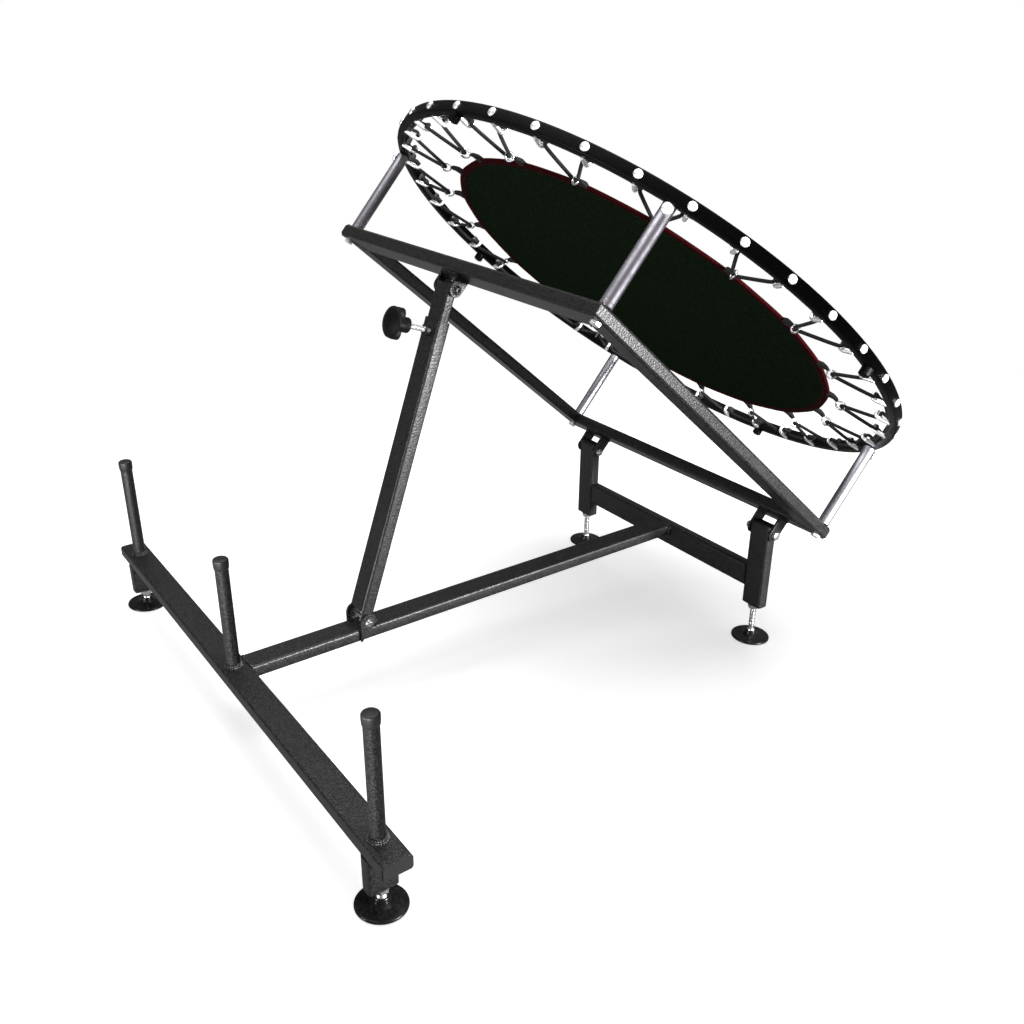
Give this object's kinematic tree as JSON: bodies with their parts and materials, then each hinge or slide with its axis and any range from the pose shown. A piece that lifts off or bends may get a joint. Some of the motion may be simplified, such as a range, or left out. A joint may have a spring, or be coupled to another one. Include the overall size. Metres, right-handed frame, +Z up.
{
  "type": "medicine ball rebounder",
  "caption": "Medicine ball rebounder: a round mat laced into a steel ring on a tilting frame, set on a T-shaped floor base with weight pegs and levelling feet.",
  "frame": {"origin": "on the floor, under the middle of the whole object's box", "axes": "+X along the peg beam to the right, +Y from the peg beam to the hinge uprights, +Z up"},
  "size_m": [0.9336, 1.11, 0.8524],
  "materials": {
    "paint": "textured satin powder coat",
    "chrome": "polished",
    "zinc": "zinc plated",
    "plastic": "moulded, matt",
    "rubber": "matt",
    "weave": "tight woven cloth",
    "binding": "woven tape",
    "cord": "braided cover over rubber"
  },
  "bodies": {
    "base": {"peg_beam": "paint", "centre_beam": "paint", "rear_beam": "paint", "peg_beam_plug_left": "plastic", "upright_plug_left": "plastic", "peg_beam_plug_right": "plastic", "upright_plug_right": "plastic", "weight_peg_left": "paint", "peg_cap_left": "plastic", "weight_peg_centre": "paint", "peg_cap_centre": "plastic", "weight_peg_right": "paint", "peg_cap_right": "plastic", "front_leg_left": "paint", "rear_upright_left": "paint", "front_leg_right": "paint", "rear_upright_right": "paint", "foot_nut_front_left": "zinc", "foot_nut_front_right": "zinc", "foot_nut_rear_left": "zinc", "foot_nut_rear_right": "zinc", "hinge_bolt_left": "zinc", "hinge_nut_left": "zinc", "hinge_bolt_right": "zinc", "hinge_nut_right": "zinc", "strut_lug_left": "paint", "strut_lug_right": "paint", "strut_bolt_lower": "zinc"},
    "tilt_frame": {"ring": "paint", "mat": "weave", "mat_binding": "binding", "shock_cord": "cord", "upper_rail": "paint", "lower_rail": "paint", "side_rail_left": "paint", "side_rail_right": "paint", "hinge_bracket_left": "paint", "hinge_bracket_right": "paint", "ring_post_upper_left": "chrome", "post_bolt_upper_left": "zinc", "ring_post_upper_right": "chrome", "post_bolt_upper_right": "zinc", "ring_post_lower_left": "chrome", "post_bolt_lower_left": "zinc", "ring_post_lower_right": "chrome", "post_bolt_lower_right": "zinc", "strut_bracket": "paint", "strut_bolt_upper": "zinc"},
    "strut_outer": {"strut_sleeve": "paint"},
    "strut_inner": {"strut_inner": "paint"},
    "lock": {"lock_knob": "plastic", "lock_screw": "zinc"},
    "stem_front_left": {"foot_stem_front_left": "zinc"},
    "pad_front_left": {"foot_pad_front_left": "rubber"},
    "stem_front_right": {"foot_stem_front_right": "zinc"},
    "pad_front_right": {"foot_pad_front_right": "rubber"},
    "stem_rear_left": {"foot_stem_rear_left": "zinc"},
    "pad_rear_left": {"foot_pad_rear_left": "rubber"},
    "stem_rear_right": {"foot_stem_rear_right": "zinc"},
    "pad_rear_right": {"foot_pad_rear_right": "rubber"}
  },
  "joints": [
    {"name": "frame_tilt", "type": "hinge", "parent": "base", "child": "tilt_frame", "pos_m": [0, 0.31047, 0.20581], "axis": [-1, 0, 0], "range_deg": [-2, 15]},
    {"name": "strut_swing", "type": "hinge", "parent": "base", "child": "strut_outer", "pos_m": [0, -0.32193, 0.11865], "axis": [-1, 0, 0], "range_deg": [-1.1, 7.5]},
    {"name": "strut_extend", "type": "slide", "parent": "strut_outer", "child": "strut_inner", "axis": [0, 0.2854, 0.9584], "range_m": [-0.022, 0.152]},
    {"name": "lock_turn", "type": "hinge", "parent": "strut_outer", "child": "lock", "pos_m": [0, -0.23094, 0.55588], "axis": [0, -0.9584, 0.2854], "range_deg": [-360, 360]},
    {"name": "level_front_left", "type": "slide", "parent": "base", "child": "stem_front_left", "axis": [0, 0.0436, -0.999], "range_m": [-0.004, 0.034]},
    {"name": "swivel_front_left", "type": "hinge", "parent": "stem_front_left", "child": "pad_front_left", "pos_m": [-0.422, -0.52247, 0.012], "axis": [1, 0, 0], "range_deg": [-8, 8]},
    {"name": "level_front_right", "type": "slide", "parent": "base", "child": "stem_front_right", "axis": [0, 0.0436, -0.999], "range_m": [-0.004, 0.034]},
    {"name": "swivel_front_right", "type": "hinge", "parent": "stem_front_right", "child": "pad_front_right", "pos_m": [0.422, -0.52247, 0.012], "axis": [1, 0, 0], "range_deg": [-8, 8]},
    {"name": "level_rear_left", "type": "slide", "parent": "base", "child": "stem_rear_left", "axis": [0, 0.0436, -0.999], "range_m": [-0.038, 0.003]},
    {"name": "swivel_rear_left", "type": "hinge", "parent": "stem_rear_left", "child": "pad_rear_left", "pos_m": [-0.226, 0.31893, 0.012], "axis": [1, 0, 0], "range_deg": [-8, 8]},
    {"name": "level_rear_right", "type": "slide", "parent": "base", "child": "stem_rear_right", "axis": [0, 0.0436, -0.999], "range_m": [-0.038, 0.003]},
    {"name": "swivel_rear_right", "type": "hinge", "parent": "stem_rear_right", "child": "pad_rear_right", "pos_m": [0.226, 0.31893, 0.012], "axis": [1, 0, 0], "range_deg": [-8, 8]}
  ],
  "couplings": [
    {"joint": "strut_swing", "follows": "frame_tilt", "ratio": 0.4856},
    {"joint": "strut_extend", "follows": "frame_tilt", "m_per_rad": 0.5665}
  ]
}
